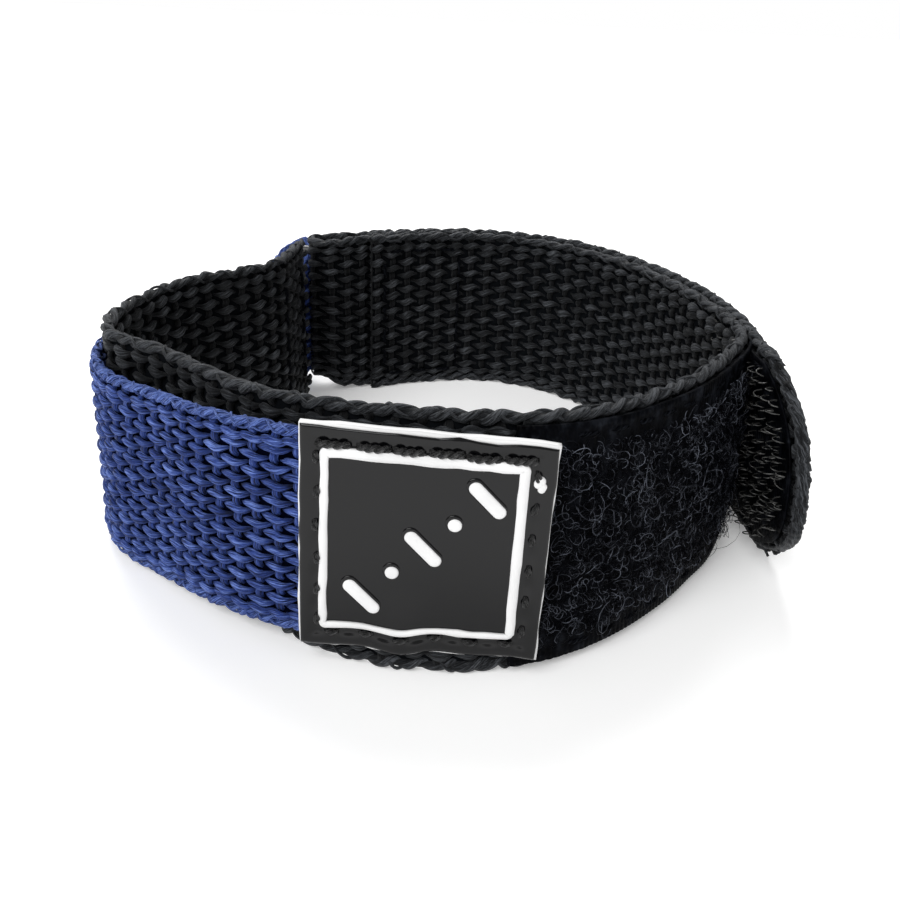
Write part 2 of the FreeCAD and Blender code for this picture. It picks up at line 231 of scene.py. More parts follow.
def filament_material(name, colour, glint, roughness, through, gloss):
    """Single fine filaments, paler along some of them in painted glints, a little see-through."""
    material, tree, shader = new_material(name)
    noise = node(tree, "ShaderNodeTexNoise", Scale=0.9, Detail=2.0)
    link(tree, attribute(tree, "yarn").outputs["Vector"], noise.inputs["Vector"])
    lit = math_node(tree, "MULTIPLY", noise.outputs["Fac"], attribute(tree, "tone").outputs["Fac"])
    # the paler colour reached along some filaments is a painted glint
    link(tree, ramp(tree, lit, [(0.46, colour), (0.88, glint)]), shader.inputs["Base Color"])
    shader.inputs["Roughness"].default_value = roughness
    shader.inputs["Specular IOR Level"].default_value = gloss
    shader.inputs["Transmission Weight"].default_value = through
    shader.inputs["IOR"].default_value = 1.5
    return material


def pvc_material(name, colour, roughness, grain, scuff, gloss=0.5):
    """Soft moulded PVC: faint grain, small scuffs in the gloss."""
    material, tree, shader = new_material(name)
    place = node(tree, "ShaderNodeTexCoord")
    fine = node(tree, "ShaderNodeTexNoise", Scale=2600.0, Detail=3.0)
    broad = node(tree, "ShaderNodeTexNoise", Scale=160.0, Detail=3.0)
    for noise in (fine, broad):
        link(tree, place.outputs["Object"], noise.inputs["Vector"])
    tinted = ramp(tree, broad.outputs["Fac"], [(0.3, [c * 0.85 for c in colour]), (0.7, colour)])
    link(tree, tinted, shader.inputs["Base Color"])
    rough = math_node(tree, "MULTIPLY_ADD", broad.outputs["Fac"], scuff, roughness - scuff / 2)
    link(tree, rough, shader.inputs["Roughness"])
    shader.inputs["Specular IOR Level"].default_value = gloss
    add_bump(tree, shader, fine.outputs["Fac"], grain, 0.00003)
    return material


def coated_wire_material(name):
    """Black-coated steel wire, a little worn."""
    material, tree, shader = new_material(name)
    place = node(tree, "ShaderNodeTexCoord")
    noise = node(tree, "ShaderNodeTexNoise", Scale=900.0, Detail=3.0)
    link(tree, place.outputs["Object"], noise.inputs["Vector"])
    worn = ramp(tree, noise.outputs["Fac"], [(0.45, (0.006, 0.006, 0.007)), (0.8, (0.03, 0.03, 0.032))])
    link(tree, worn, shader.inputs["Base Color"])
    link(tree, math_node(tree, "MULTIPLY_ADD", noise.outputs["Fac"], 0.25, 0.25), shader.inputs["Roughness"])
    return material


# -------- centrelines, as in the CAD source

Path = namedtuple("Path", "x y heading runs")

BAND_START = (-18.13, 21.59, -97.0)
BAND_RUNS = [
    (8, 6), (9, -46), (9, 31), (9, 17), (4.5, 60), (9, -17), (8, 15), (9.5, 23),
    (10.5, 20), (10.5, 24), (8.5, 21), (7, 10), (9.5, 38), (14, 8), (14, 25), (12, 44), (12.5, 28),
]
ANCHOR_RUNS = [(5.4, -28)]
STRAP_FOLD_TURN = -168
STRAP_RUNS = [(10, 10), (13, -34), (15, -41), (15, -21), (14.5, -12)]
TAIL_RUNS = [(6, -4), (11.5, -16)]
BLUE_TO_RING_RUNS = [(3.2, -30)]
BLUE_FOLD_TURN = 190
BLUE_RUNS = [(4, 15), (12.5, -5), (16.5, 6), (8.5, 20), (6, 48), (7.5, -4), (7.5, 8), (5.5, 13)]
LAP = 12.0
LAYER = 1.5
BEND_RADIUS = 1.5
TAIL_BEND = 3.0


def end_of(path):
    x, y, heading = path.x, path.y, path.heading
    for length, turn in path.runs:
        radius = length / math.radians(turn)
        a, b = math.radians(heading), math.radians(heading + turn)
        x += radius * (math.sin(b) - math.sin(a))
        y -= radius * (math.cos(b) - math.cos(a))
        heading += turn
    return x, y, heading


def length_of(path):
    return sum(length for length, _ in path.runs)


def stretch(path, start, stop):
    before, inside, at = [], [], 0.0
    for length, turn in path.runs:
        low, high = max(at, start), min(at + length, stop)
        used = min(at + length, start) - at
        if used > 0:
            before.append((used, turn * used / length))
        if high - low > 1e-9:
            inside.append((high - low, turn * (high - low) / length))
        at += length
    return Path(*end_of(path._replace(runs=before)), inside)


def beside(path, distance):
    a = math.radians(path.heading)
    runs = [(length + distance * math.radians(turn), turn) for length, turn in path.runs]
    return Path(path.x + distance * math.sin(a), path.y - distance * math.cos(a), path.heading, runs)


def backwards(path):
    x, y, heading = end_of(path)
    return Path(x, y, heading + 180, [(length, -turn) for length, turn in reversed(path.runs)])


def with_runs(path, *more):
    return path._replace(runs=path.runs + [run for runs in more for run in runs])


def fold_run(turn):
    return (BEND_RADIUS * math.radians(abs(turn)), turn)


band = Path(*BAND_START, BAND_RUNS)
BAND_LENGTH = length_of(band)
anchor = with_runs(beside(stretch(band, BAND_LENGTH - LAP, BAND_LENGTH), LAYER), ANCHOR_RUNS)
strap = with_runs(anchor, [fold_run(STRAP_FOLD_TURN)], STRAP_RUNS, TAIL_RUNS)
FOLD_START = length_of(anchor)
FOLD_STOP = FOLD_START + fold_run(STRAP_FOLD_TURN)[0]
PEEL = FOLD_STOP + sum(length for length, _ in STRAP_RUNS)
STRAP_END = length_of(strap)
blue_lap = backwards(beside(stretch(band, 0, LAP), LAYER))
blue_to_ring = with_runs(blue_lap, BLUE_TO_RING_RUNS)
blue = with_runs(blue_to_ring, [fold_run(BLUE_FOLD_TURN)], BLUE_RUNS)
BLUE_FOLD_START = length_of(blue_to_ring)
BLUE_FOLD_STOP = BLUE_FOLD_START + fold_run(BLUE_FOLD_TURN)[0]
BLUE_END = length_of(blue)
RIGHT_BAR = end_of(beside(anchor, BEND_RADIUS))[:2]
LEFT_BAR = end_of(beside(blue_to_ring, -BEND_RADIUS))[:2]
BEND_START, BEND_STOP = PEEL - TAIL_BEND / 2, PEEL + TAIL_BEND / 2


def smoothing(sigma):
    """A bell-shaped kernel over a course's samples, and its half length."""
    reach = int(3 * sigma / Course.STEP)
    kernel = np.exp(-0.5 * (np.arange(-reach, reach + 1) * Course.STEP / sigma) ** 2)
    return kernel / kernel.sum(), reach


def rounded(end, length):
    """Where the strap's rounded end stops at each height share."""
    return lambda h: end - length * abs(2 * h - 1) ** 2.3


class Course:
    """A path sampled finely and smoothed, except close to the folds."""

    STEP = 0.1

    def __init__(self, path, sigma=1.6, folds=()):
        total = length_of(path)
        count = int(total / self.STEP) + 1
        self.s = np.linspace(0, total, count)
        ends = np.cumsum([0] + [length for length, _ in path.runs])
        headings = path.heading + np.cumsum([0] + [turn for _, turn in path.runs])
        heading = np.radians(np.interp(self.s, ends, headings))
        middle = (heading[1:] + heading[:-1]) / 2
        ds = np.diff(self.s)
        x = path.x + np.concatenate([[0], np.cumsum(ds * np.cos(middle))])
        y = path.y + np.concatenate([[0], np.cumsum(ds * np.sin(middle))])
        share = np.ones(count)
        for start, stop in folds:
            distance = np.maximum(0, np.maximum(start - self.s, self.s - stop))
            share = np.minimum(share, np.clip((distance - 2) / 5, 0, 1))
        self.x, self.y = (self._smoothed(v, sigma, share) for v in (x, y))
        self.heading = np.unwrap(np.arctan2(np.gradient(self.y), np.gradient(self.x)))

    def _smoothed(self, values, sigma, share):
        kernel, reach = smoothing(sigma)
        steps = np.arange(1, reach + 1)
        before = values[0] - (values[1] - values[0]) * steps[::-1]
        after = values[-1] + (values[-1] - values[-2]) * steps
        smooth = np.convolve(np.concatenate([before, values, after]), kernel, "valid")
        return values + share * (smooth - values)


class Ribbon:
    """Webbing on edge: a course with a lower edge, an upper edge, and a lean and a shift along it."""

    def __init__(self, course, low, high, lean, shift):
        self.course, self.low, self.high = course, low, high
        self.lean, self.shift = (self._eased(knots) for knots in (lean, shift))

    def _eased(self, knots, sigma=1.5):
        """Knots turned into a smooth curve along the course."""
        kernel, reach = smoothing(sigma)
        values = np.interp(self.course.s, *zip(*knots))
        return np.convolve(np.pad(values, reach, mode="edge"), kernel, "valid")

    def place(self, s, h, n):
        """Points, in metres, at distances s, height shares h and offsets n to the right."""
        s, h, n = np.broadcast_arrays(*(np.asarray(v, float) for v in (s, h, n)))
        course = self.course
        heading, lean, shift = (np.interp(s, course.s, v) for v in (course.heading, self.lean, self.shift))
        low, high = (np.interp(s, *zip(*knots)) for knots in (self.low, self.high))
        n = n + lean * (1 - 2 * h) + shift
        x = np.interp(s, course.s, course.x) + n * np.sin(heading)
        y = np.interp(s, course.s, course.y) - n * np.cos(heading)
        return np.stack([x, y, low + h * (high - low)], -1) * MM


# -------- meshes


def unit(v):
    return v / np.maximum(np.linalg.norm(v, axis=-1, keepdims=True), 1e-12)


class Yarns:
    """Gathers quads with each point's place round and along its strand, for one mesh."""

    def __init__(self):
        self.points, self.quads, self.yarn, self.tone, self.count = [], [], [], [], 0

    def add(self, points, quads, yarn, tone):
        self.points.append(points.reshape(-1, 3))
        self.quads.append(quads.reshape(-1, 4) + self.count)
        self.yarn.append(yarn.reshape(-1, 3))
        self.tone.append(np.broadcast_to(tone, points.shape[:-1]).reshape(-1))
        self.count += self.points[-1].shape[0]

    def tubes(self, centres, wide, a, b, sides=8, tone=1.0, twist=0.6, seed=0):
        """Closed tubes of N rings: centres (M, N, 3) and half sizes in millimetres, a along wide."""
        m, n = centres.shape[:2]
        tangent = unit(np.gradient(centres, axis=1))
        wide = np.broadcast_to(wide, centres.shape)
        wide = unit(wide - (wide * tangent).sum(-1, keepdims=True) * tangent)
        thin = np.cross(tangent, wide)
        angle = 2 * np.pi * np.arange(sides) / sides
        a, b = (np.broadcast_to(v, (m, n))[..., None, None] * MM for v in (a, b))
        rings = centres[:, :, None] + a * np.cos(angle)[:, None] * wide[:, :, None]
        rings = rings + b * np.sin(angle)[:, None] * thin[:, :, None]
        index = np.arange(m * n * sides).reshape(m, n, sides)
        beyond = np.roll(index, -1, 2)
        walls = np.stack([index[:, :-1], beyond[:, :-1], beyond[:, 1:], index[:, 1:]], -1)
        i = np.arange(sides // 2 - 1)
        cap = np.stack([i, i + 1, sides - 2 - i, sides - 1 - i], -1)
        caps = [index[:, 0][:, cap[:, ::-1]], index[:, -1][:, cap]]
        along = np.cumsum(np.linalg.norm(np.diff(centres, axis=1, prepend=centres[:, :1]), axis=-1), 1) / MM
        start = np.random.default_rng(SEED + seed).uniform(0, 400, (m, 1, 1))
        spin = angle + twist * along[..., None]
        yarn = np.stack([np.cos(spin), np.sin(spin), along[..., None] + start + 0 * spin], -1)
        tone = np.broadcast_to(tone, (m, n))[..., None] + 0 * angle
        quads = np.concatenate([walls.reshape(-1, 4)] + [c.reshape(-1, 4) for c in caps])
        self.add(rings, quads, yarn, tone)

    def make(self, name, material):
        gathered = (self.points, self.quads, self.yarn, self.tone)
        points, quads, yarn, tone = (np.concatenate(part) for part in gathered)
        mesh = bpy.data.meshes.new(name)
        mesh.vertices.add(len(points))
        mesh.loops.add(quads.size)
        mesh.polygons.add(len(quads))
        mesh.vertices.foreach_set("co", points.astype(np.float32).ravel())
        mesh.loops.foreach_set("vertex_index", quads.astype(np.int32).ravel())
        mesh.polygons.foreach_set("loop_start", np.arange(0, quads.size, 4, dtype=np.int32))
        mesh.polygons.foreach_set("use_smooth", np.ones(len(quads), bool))
        mesh.update(calc_edges=True)
        for attribute_name, kind, key, values in (("yarn", "FLOAT_VECTOR", "vector", yarn),
                                                  ("tone", "FLOAT", "value", tone)):
            data = mesh.attributes.new(attribute_name, kind, "POINT").data
            data.foreach_set(key, values.astype(np.float32).ravel())
        mesh.materials.append(material)
        piece = bpy.data.objects.new(name, mesh)
        bpy.context.scene.collection.objects.link(piece)
        return piece


# -------- webbing

# The weft cords' tone, below 1, is painted shade where they lie between the warp floats.
Weave = namedtuple("Weave", "cords pick edge strands swing fat twist wraps bias weft_tone seed")
BLACK_WEAVE = Weave(cords=20, pick=1.95, edge=1.2, strands=2, swing=0.2, fat=0.25, twist=3.8, wraps=1,
                    bias=0.0, weft_tone=0.35, seed=1)
STRAP_WEAVE = BLACK_WEAVE._replace(seed=2)
BLUE_WEAVE = Weave(cords=22, pick=1.85, edge=0.95, strands=3, swing=0.24, fat=0.21, twist=3.4, wraps=2,
                   bias=0.3, weft_tone=0.7, seed=3)
WARP_DEPTH = 0.40
WARP_HALF_THICK = 0.22
WEFT_DEPTH = 0.24
WEFT_HALF = (0.38, 0.24)
RINGS_PER_PICK = 9
CORDED_RINGS_PER_PICK = 12
CORDED_SHARE = 0.47
CORE_HALF = 0.05
End = namedtuple("End", "half_thick half_deep tone")
CUT_END = End(0.20, 0.12, 0.3)
ROUND_END = End(0.55, 0.24, 1.0)


def uneven(weave, shape, s, k, spread):
    """Small steady differences from float to float, the same wherever the webbing is cut."""
    table = np.random.default_rng(SEED * weave.seed + shape).normal(0, spread, (weave.cords, 120))
    rows = [np.interp(row_s / weave.pick, np.arange(120), table[row_k]) for row_s, row_k in zip(s, k)]
    return np.array(rows)


def selvedge(yarns, ribbon, weave, start, stop, side, share, width, tapered):
    """The corded edge: a few twisted strands of uneven fatness, crossed by thin loops. Their tones are
    painted light: painted highlight on the strands and loops, lighter on the upper side of each twist, and
    painted shade on the middle cord.
    """
    s = np.linspace(start, stop, int(round((stop - start) / weave.pick * CORDED_RINGS_PER_PICK)) + 1)
    table = np.random.default_rng(SEED * weave.seed + 500 + side).normal(0, 1, (12, 200))

    def vary(row, size, pitch=1.3):
        return size * np.interp(s / pitch, np.arange(200), table[row])

    taper = np.clip((stop - s) / 2.0, 0.25, 1) if tapered else 1.0

    def strand(turn, radius, thick, tone, seed):
        radius, thick = radius * taper, thick * taper
        h = share + radius * np.sin(turn) / width
        path = ribbon.place(s, h, radius * 1.1 * np.cos(turn))[None]
        yarns.tubes(path, (0, 0, 1), thick, thick * 0.9, tone=tone, twist=1.4, seed=seed)

    for number in range(weave.strands):
        turn = 2 * np.pi * (s / weave.twist + number / weave.strands + 0.15 * side) + vary(number, 0.4)
        radius = weave.edge * weave.swing * (1 + vary(3 + number, 0.22))
        thick = weave.edge * weave.fat * (1 + 0.22 * np.cos(turn) + vary(6 + number, 0.16, 1.9))
        # tone above 1, rising with sin(turn): painted highlight, lighter where the strand is on the upper
        # side of its twist
        strand(turn, radius, thick, 1.12 + 0.2 * np.sin(turn), 200 + 5 * side + number)
    # the middle cord's tone of 0.7 is painted shade
    strand(0 * s, 0.0, weave.edge * 0.24, 0.7, 209 + 5 * side)
    for number in range(weave.wraps):
        turn = -2 * np.pi * (s / (weave.twist * 0.98) + number / weave.wraps) + vary(9 + number, 0.5)
        radius = weave.edge * (weave.swing + weave.fat * 0.62) * (1 + vary(11, 0.05))
        # the loops' tone of 1.2 is painted highlight
        strand(turn, radius, weave.edge * 0.11, 1.2, 210 + 5 * side + number)


def add_weft(yarns, ribbon, weave, start, stop, h0, stops, spacing):
    """One cord across the webbing at each pick, passing over and under the warp cords at h0."""
    picks = np.arange(math.ceil((start + 0.2) / weave.pick), math.floor((stop - 0.2) / weave.pick) + 1)
    rise = np.linspace(0, 1, 4 * weave.cords + 5)
    for pick in picks:
        at = pick * weave.pick
        inside = h0[stops > at + 0.3]
        if len(inside) < 2:
            continue
        low, high = inside[0] - spacing, inside[-1] + spacing
        h = low + (high - low) * rise
        turn = np.pi * ((h - h0[0]) / spacing + pick)
        path = ribbon.place(at + 0.06 * np.sin(turn / 3), h, -WEFT_DEPTH * np.cos(turn))[None]
        across = ribbon.place(at + 0.1, 0.5, 0) - ribbon.place(at, 0.5, 0)
        # the weft's low tone is painted shade
        yarns.tubes(path, unit(across), *WEFT_HALF, sides=6, tone=weave.weft_tone, seed=100 + pick)


def webbing(name, ribbon, weave, start, stop, material, shade_core_material, trim=None, end=None):
    """A stretch of plain-woven webbing with a corded edge on both sides, and a dark matte sheet in its
    middle, which blocks see-through and whose colour is painted shade deep in the weave's gaps.

    The outermost warp cords are doubled, the second of each passing on the other side of the weft.
    """
    yarns = Yarns()
    k = np.append(np.arange(weave.cords), (0, weave.cords - 1))
    width = ribbon.high[0][1] - ribbon.low[0][1]
    edge = weave.edge / width
    spacing = (1 - 2 * edge) / weave.cords
    h0 = edge + (k + 0.5) * spacing
    doubled = np.arange(len(k)) >= weave.cords
    stops = np.array([trim(h) for h in h0]) if trim else np.full(len(k), stop)
    count = int(round((stop - start) / weave.pick * RINGS_PER_PICK)) + 1
    s = start + (stops[:, None] - start) * np.linspace(0, 1, count)
    turned = np.pi * s / weave.pick
    phase = turned + np.pi * (k + doubled)[:, None] + 0.25 * np.sin(2 * turned)
    wave = np.cos(phase)
    side = np.tanh(1.8 * (wave + weave.bias))
    full = np.abs(side)
    n = WARP_DEPTH * side + uneven(weave, 11, s, k, 0.05)
    h = h0[:, None] + spacing * (-0.20 * np.sin(phase) * side + uneven(weave, 12, s, k, 0.10))
    half = spacing * width * (0.13 + 0.38 * full ** 0.8) * (1 + uneven(weave, 13, s, k, 0.11))
    # painted shade: darker where a warp dives under the weft and lighter on the float's top, with small
    # random differences from float to float
    tone = 0.5 + 0.5 * full + uneven(weave, 14, s, k, 0.12)
    yarns.tubes(ribbon.place(s, h, n), (0, 0, 1), half, WARP_HALF_THICK + 0.05 * full,
                tone=tone, seed=weave.seed)
    add_weft(yarns, ribbon, weave, start, stop, h0[:weave.cords], stops[:weave.cords], spacing)
    corded = stops.min() if trim else stop
    for side, share in ((0, edge * CORDED_SHARE), (1, 1 - edge * CORDED_SHARE)):
        selvedge(yarns, ribbon, weave, start, corded, side, share, width, bool(trim))
    if end:
        seal_end(yarns, ribbon, weave, trim or (lambda h: stop), edge, end)
    # the middle sheet blocks see-through; its dark matte colour is painted shade deep in the weave's gaps
    core = Yarns()
    h_range = (edge * 0.4, 1 - edge * 0.4)
    strip_slab(core, ribbon, start, stop, -CORE_HALF, CORE_HALF, h_range, 0.4, 1.0, trim)
    return yarns.make(name, material), core.make(name + "_core", shade_core_material)


def seal_end(yarns, ribbon, weave, trim, edge, end):
    """The melted bead along a heat-cut end, following the end's outline."""
    h = np.linspace(edge * 0.3, 1 - edge * 0.3, 90)
    wander = np.random.default_rng(SEED + weave.seed).normal(0, 0.04, (3, 90))
    s = np.array([trim(v) for v in h])
    path = ribbon.place(s + wander[0], h, wander[1])[None]
    through = unit(ribbon.place(s, h, 1.0) - ribbon.place(s, h, 0.0))[None]
    half_thick, half_deep = end.half_thick + wander[2], end.half_deep + wander[2] / 2
    yarns.tubes(path, through, half_thick, half_deep, tone=end.tone, seed=300)


# -------- tapes

PILE_START, PILE_STOP = 75.0, 114.5
PILE_FACES = (0.74, 1.08)
PILE_ROOT = 1.0
PILE_PARTS = ((0.13, 0.38), (0.38, 0.62), (0.62, 0.87))
PILE_HAIRS, STRAY_HAIRS = 2200, 130
HAIR_HALF_THICK = 0.022
HOOK_ENGAGED = 6.0
HOOK_FACES = (0.72, 0.95)
HOOK_ROOT = 0.9
HOOK_ROW = 0.044
HOOK_PITCH = 1.6
HOOK_HALF_THICK = 0.062


def slab(yarns, front, back, yarn, tone):
    """A closed sheet between two grids of points of the same shape."""
    m, n = front.shape[:2]
    grid = np.arange(m * n).reshape(m, n)
    face = np.stack([grid[:-1, :-1], grid[1:, :-1], grid[1:, 1:], grid[:-1, 1:]], -1).reshape(-1, 4)
    loop = np.concatenate([grid[:, 0], grid[-1, 1:], grid[-2::-1, -1], grid[0, -2:0:-1]])
    ahead = np.roll(loop, -1)
    rim = np.stack([loop, loop + m * n, ahead + m * n, ahead], -1)
    quads = np.concatenate([face, face[:, ::-1] + m * n, rim])
    across = np.cross(front[1, 0] - front[0, 0], front[0, 1] - front[0, 0])
    if across @ (front[0, 0] - back[0, 0]) < 0:
        quads = quads[:, ::-1]
    points = np.stack([front, back])
    yarns.add(points, quads, np.broadcast_to(yarn, points.shape).copy(), tone)


def strip_slab(yarns, ribbon, start, stop, inner, outer, h_range, step, tone, trim=None, ribs=None, rise=0.0):
    """A flat sheet along a ribbon, between two offsets, with ribs across it on its outer face."""
    h = np.linspace(*h_range, 41)[None, :]
    stops = np.array([trim(v) for v in h[0]])[None, :] if trim else stop
    s = start + (stops - start) * np.linspace(0, 1, int((stop - start) / step) + 2)[:, None]
    s, h = s + 0 * h, h + 0 * s
    bump = rise * np.abs(np.sin(np.pi * s / ribs)) - rise if ribs else 0 * s
    front = ribbon.place(s, h, outer + math.copysign(1, outer - inner) * bump)
    yarn = np.stack([h * 9, 0 * s, s], -1)
    slab(yarns, front, ribbon.place(s, h, inner), yarn, tone)


def strip(name, ribbon, start, stop, inner, outer, material, h_range=(0.04, 0.96), trim=None):
    """A tape's finely ribbed ground."""
    ribs, rise = 0.45, 0.05
    yarns = Yarns()
    strip_slab(yarns, ribbon, start, stop, inner, outer, h_range, ribs / 6, 0.8, trim, ribs, rise)
    return yarns.make(name, material)


def fuzz(name, ribbon, start, stop, h_low, h_high, base, count, material, seed, reach=1.0):
    """Curled loops of fine filament standing on a tape's face."""
    draw = np.random.default_rng(SEED + seed)
    s0 = draw.uniform(start, stop, count)[:, None]
    h0 = draw.uniform(h_low, h_high, count)[:, None]
    width = ribbon.high[0][1] - ribbon.low[0][1]
    direction = draw.uniform(0, 2 * np.pi, count)[:, None]
    size = reach * (draw.gamma(6, 0.06, count)[:, None] + 0.12)
    curl = draw.uniform(2.2, 5.2, count)[:, None] * np.sign(draw.uniform(-1, 1, count))[:, None]
    t = np.linspace(0, 1, 9)[None, :]
    turn = curl * t
    rise = size * 1.2 * np.sin(np.minimum(t * 2.6, np.pi * 0.5)) * (1 - 0.45 * t ** 2)
    out_s = size * (np.cos(direction + turn) - np.cos(direction)) * 0.8
    out_h = size * (np.sin(direction + turn) - np.sin(direction)) * 0.8
    n = base + rise * draw.uniform(0.7, 1.25, count)[:, None]
    path = ribbon.place(s0 + out_s, h0 + out_h / width, n)
    yarns = Yarns()
    bright = 0.55 + 0.85 * draw.uniform(0, 1, count)[:, None] ** 2.5
    yarns.tubes(path, (0.3, 0.2, 0.93), HAIR_HALF_THICK, HAIR_HALF_THICK, sides=4, tone=bright, seed=seed)
    return yarns.make(name, material)


def hooks(name, ribbon, start, stop, base, material, seed, trim=None):
    """Rows of single monofilament hooks on a tape's face at offset base."""
    draw = np.random.default_rng(SEED + seed)
    rows = np.arange(0.08, 0.93, HOOK_ROW)
    columns = np.arange(math.ceil(start / HOOK_PITCH), math.floor(stop / HOOK_PITCH) + 1) * HOOK_PITCH
    h0, s0 = (v.ravel() for v in np.meshgrid(rows, columns))
    s0 = s0 + HOOK_PITCH / 2 * (np.round(h0 / HOOK_ROW) % 2) + draw.normal(0, 0.10, s0.shape)
    h0 = h0 + draw.normal(0, 0.006, h0.shape)
    inside = (s0 > start + 0.1) & (s0 < stop - 0.1)
    if trim:
        inside &= s0 < np.array([trim(h) for h in h0]) - 0.5
    h0, s0 = h0[inside][:, None], s0[inside][:, None]
    count = len(h0)
    t = np.linspace(0, 1, 12)[None, :]
    turn = t * draw.uniform(3.2, 4.2, count)[:, None]
    side = np.where(draw.uniform(0, 1, count) > 0.25, 1.0, -1.0)[:, None]
    reach = draw.uniform(0.42, 0.58, count)[:, None]
    s = s0 + side * reach * (1 - np.cos(turn)) * 0.8
    n = base + reach * 0.9 * t ** 0.5 + reach * 1.1 * np.sin(np.minimum(turn, 3.6)).clip(-0.4)
    h = h0 + draw.normal(0, 0.012, count)[:, None] * t * 1.5
    yarns = Yarns()
    yarns.tubes(ribbon.place(s, h, n), (0, 0, 1), HOOK_HALF_THICK, HOOK_HALF_THICK, sides=6, seed=seed)
    return yarns.make(name, material)


# -------- sewing

STITCH_PITCH, STITCH_LENGTH = 2.5, 1.7
STITCH_RISE, STITCH_RADIUS = 0.05, 0.15
INNER_FACE = -0.66


def sew(yarns, starts, ends, normals, rise, radius, sink=0.12, turns=1.5, seed=0):
    """Two-ply stitches from starts to ends, arching over a surface with the given normals."""
    starts, ends, normals = (np.asarray(v, float)[:, None, :] for v in (starts, ends, normals))
    t = np.linspace(0, 1, 15)[None, :, None]
    run = ends - starts
    side = unit(np.cross(normals, run))
    arch = (rise * (1 - (2 * t - 1) ** 6) - sink * np.abs(2 * t - 1) ** 6) * MM
    for ply in (0, 1):
        spin = 2 * np.pi * turns * t + np.pi * ply
        path = starts + run * t + normals * arch
        path = path + (normals * np.cos(spin) + side * np.sin(spin)) * radius * 0.62 * MM
        yarns.tubes(path, normals, radius * 0.72, radius * 0.72, sides=6, twist=2.0, seed=seed + ply)


def sew_rows(yarns, ribbon, start, stop, heights, n, outward):
    """Stitches along a ribbon at height shares, on the face at offset n."""
    count = max(1, int((stop - start) / STITCH_PITCH))
    at = start + (np.arange(count) + 0.5) * (stop - start) / count
    for row, h in enumerate(heights):
        a, b = (ribbon.place(at + shift, h, n) for shift in (-STITCH_LENGTH / 2, STITCH_LENGTH / 2))
        normal = unit(ribbon.place(at, h, n + outward) - ribbon.place(at, h, n))
        sew(yarns, a, b, normal, STITCH_RISE, STITCH_RADIUS, seed=10 * row)


def sew_columns(yarns, ribbon, places, low, high, n, outward):
    """Upright stitches across a ribbon between two height shares, on the face at offset n."""
    width = ribbon.high[0][1]
    count = max(1, int((high - low) * width / STITCH_PITCH))
    h = low + (np.arange(count) + 0.5) * (high - low) / count
    for column, at in enumerate(places):
        a, b = (ribbon.place(at, h + shift / width, n) for shift in (-STITCH_LENGTH / 2, STITCH_LENGTH / 2))
        normal = unit(ribbon.place(at, h, n + outward) - ribbon.place(at, h, n))
        sew(yarns, a, b, normal, STITCH_RISE, STITCH_RADIUS, seed=50 + 10 * column)


# -------- patch

PATCH_CENTRE = (-0.78, -29.8, 10.63)
PATCH_TURN, PATCH_TILT, PATCH_LEAN = -1.5, 1.1, 4.5
PATCH_HALF = 8.8
PATCH_TAPER = 0.023 / PATCH_HALF
PATCH_SQUAT = 0.978
CORE_HALF_SIDE, FILM_HALF_SIDE = PATCH_HALF - 0.01, PATCH_HALF - 0.07
CORE_FRONT, FILM_FRONT = 0.62, 0.80
FILM_OVERLAP, FILM_TOP_INSET = 0.02, 0.15
SEAM_INSET = 1.3
SEAM_PITCH = 2.55
SEAM_SINK = 0.15
SEAM_KINDS = (("right", 0.75, 0.14, 0.19), ("top", 2.3, 0.10, 0.24), ("left", 0.75, 0.16, 0.20),
              ("bottom", 1.0, 0.12, 0.18))
FRAME_HALF, FRAME_CORNER, FRAME_RISE = 6.62, 0.24, 0.2
FRAME_STRETCH, FRAME_SHIFT = (1.03, 1.035), -0.2
FRAME_HALF_WIDTHS = np.array([0.36, 0.39, 0.31, 0.24])
MARK_GAP, MARK_LENGTH, MARK_HALF, MARK_RISE = 3.0, 2.4, 0.5, 0.2
LIP_HALF, LIP_RISE, LIP_SHIFT = 0.63, 0.09, (-0.06, 0.14)
NICK = ((7.65, 5.95, 0.37), (7.85, 5.55, 0.28))


def smooth_step(value, low, high):
    t = np.clip((value - low) / (high - low), 0, 1)
    return t * t * (3 - 2 * t)


def patch_place(u, v, d):
    """Points at u across the patch, v up it and d forwards of its back, with its soft buckle low down."""
    u, v, d = np.broadcast_arrays(*(np.asarray(x, float) for x in (u, v, d)))
    v = PATCH_SQUAT * v * (1 - PATCH_TAPER * u)
    low_part = smooth_step(-v, 3.0, 8.4)
    v = v + low_part * (0.07 * np.sin(1.1 * u + 0.6) - 0.34 * np.exp(-((u + 1.2) / 1.5) ** 2) - 0.02 * u)
    d = d + low_part * 0.22 * np.exp(-((u + 1.2) / 1.7) ** 2) + 0.05 * np.sin(0.5 * u + 0.3 * v)
    turn, tilt, lean = (math.radians(angle) for angle in (PATCH_TURN, PATCH_TILT, PATCH_LEAN))
    x1, z1 = u * math.cos(tilt) + v * math.sin(tilt), v * math.cos(tilt) - u * math.sin(tilt)
    y1, z1 = z1 * math.sin(lean) - d * math.cos(lean), z1 * math.cos(lean) + d * math.sin(lean)
    x = x1 * math.cos(turn) - y1 * math.sin(turn)
    y = x1 * math.sin(turn) + y1 * math.cos(turn)
    return (np.stack([x, y, z1], -1) + PATCH_CENTRE) * MM


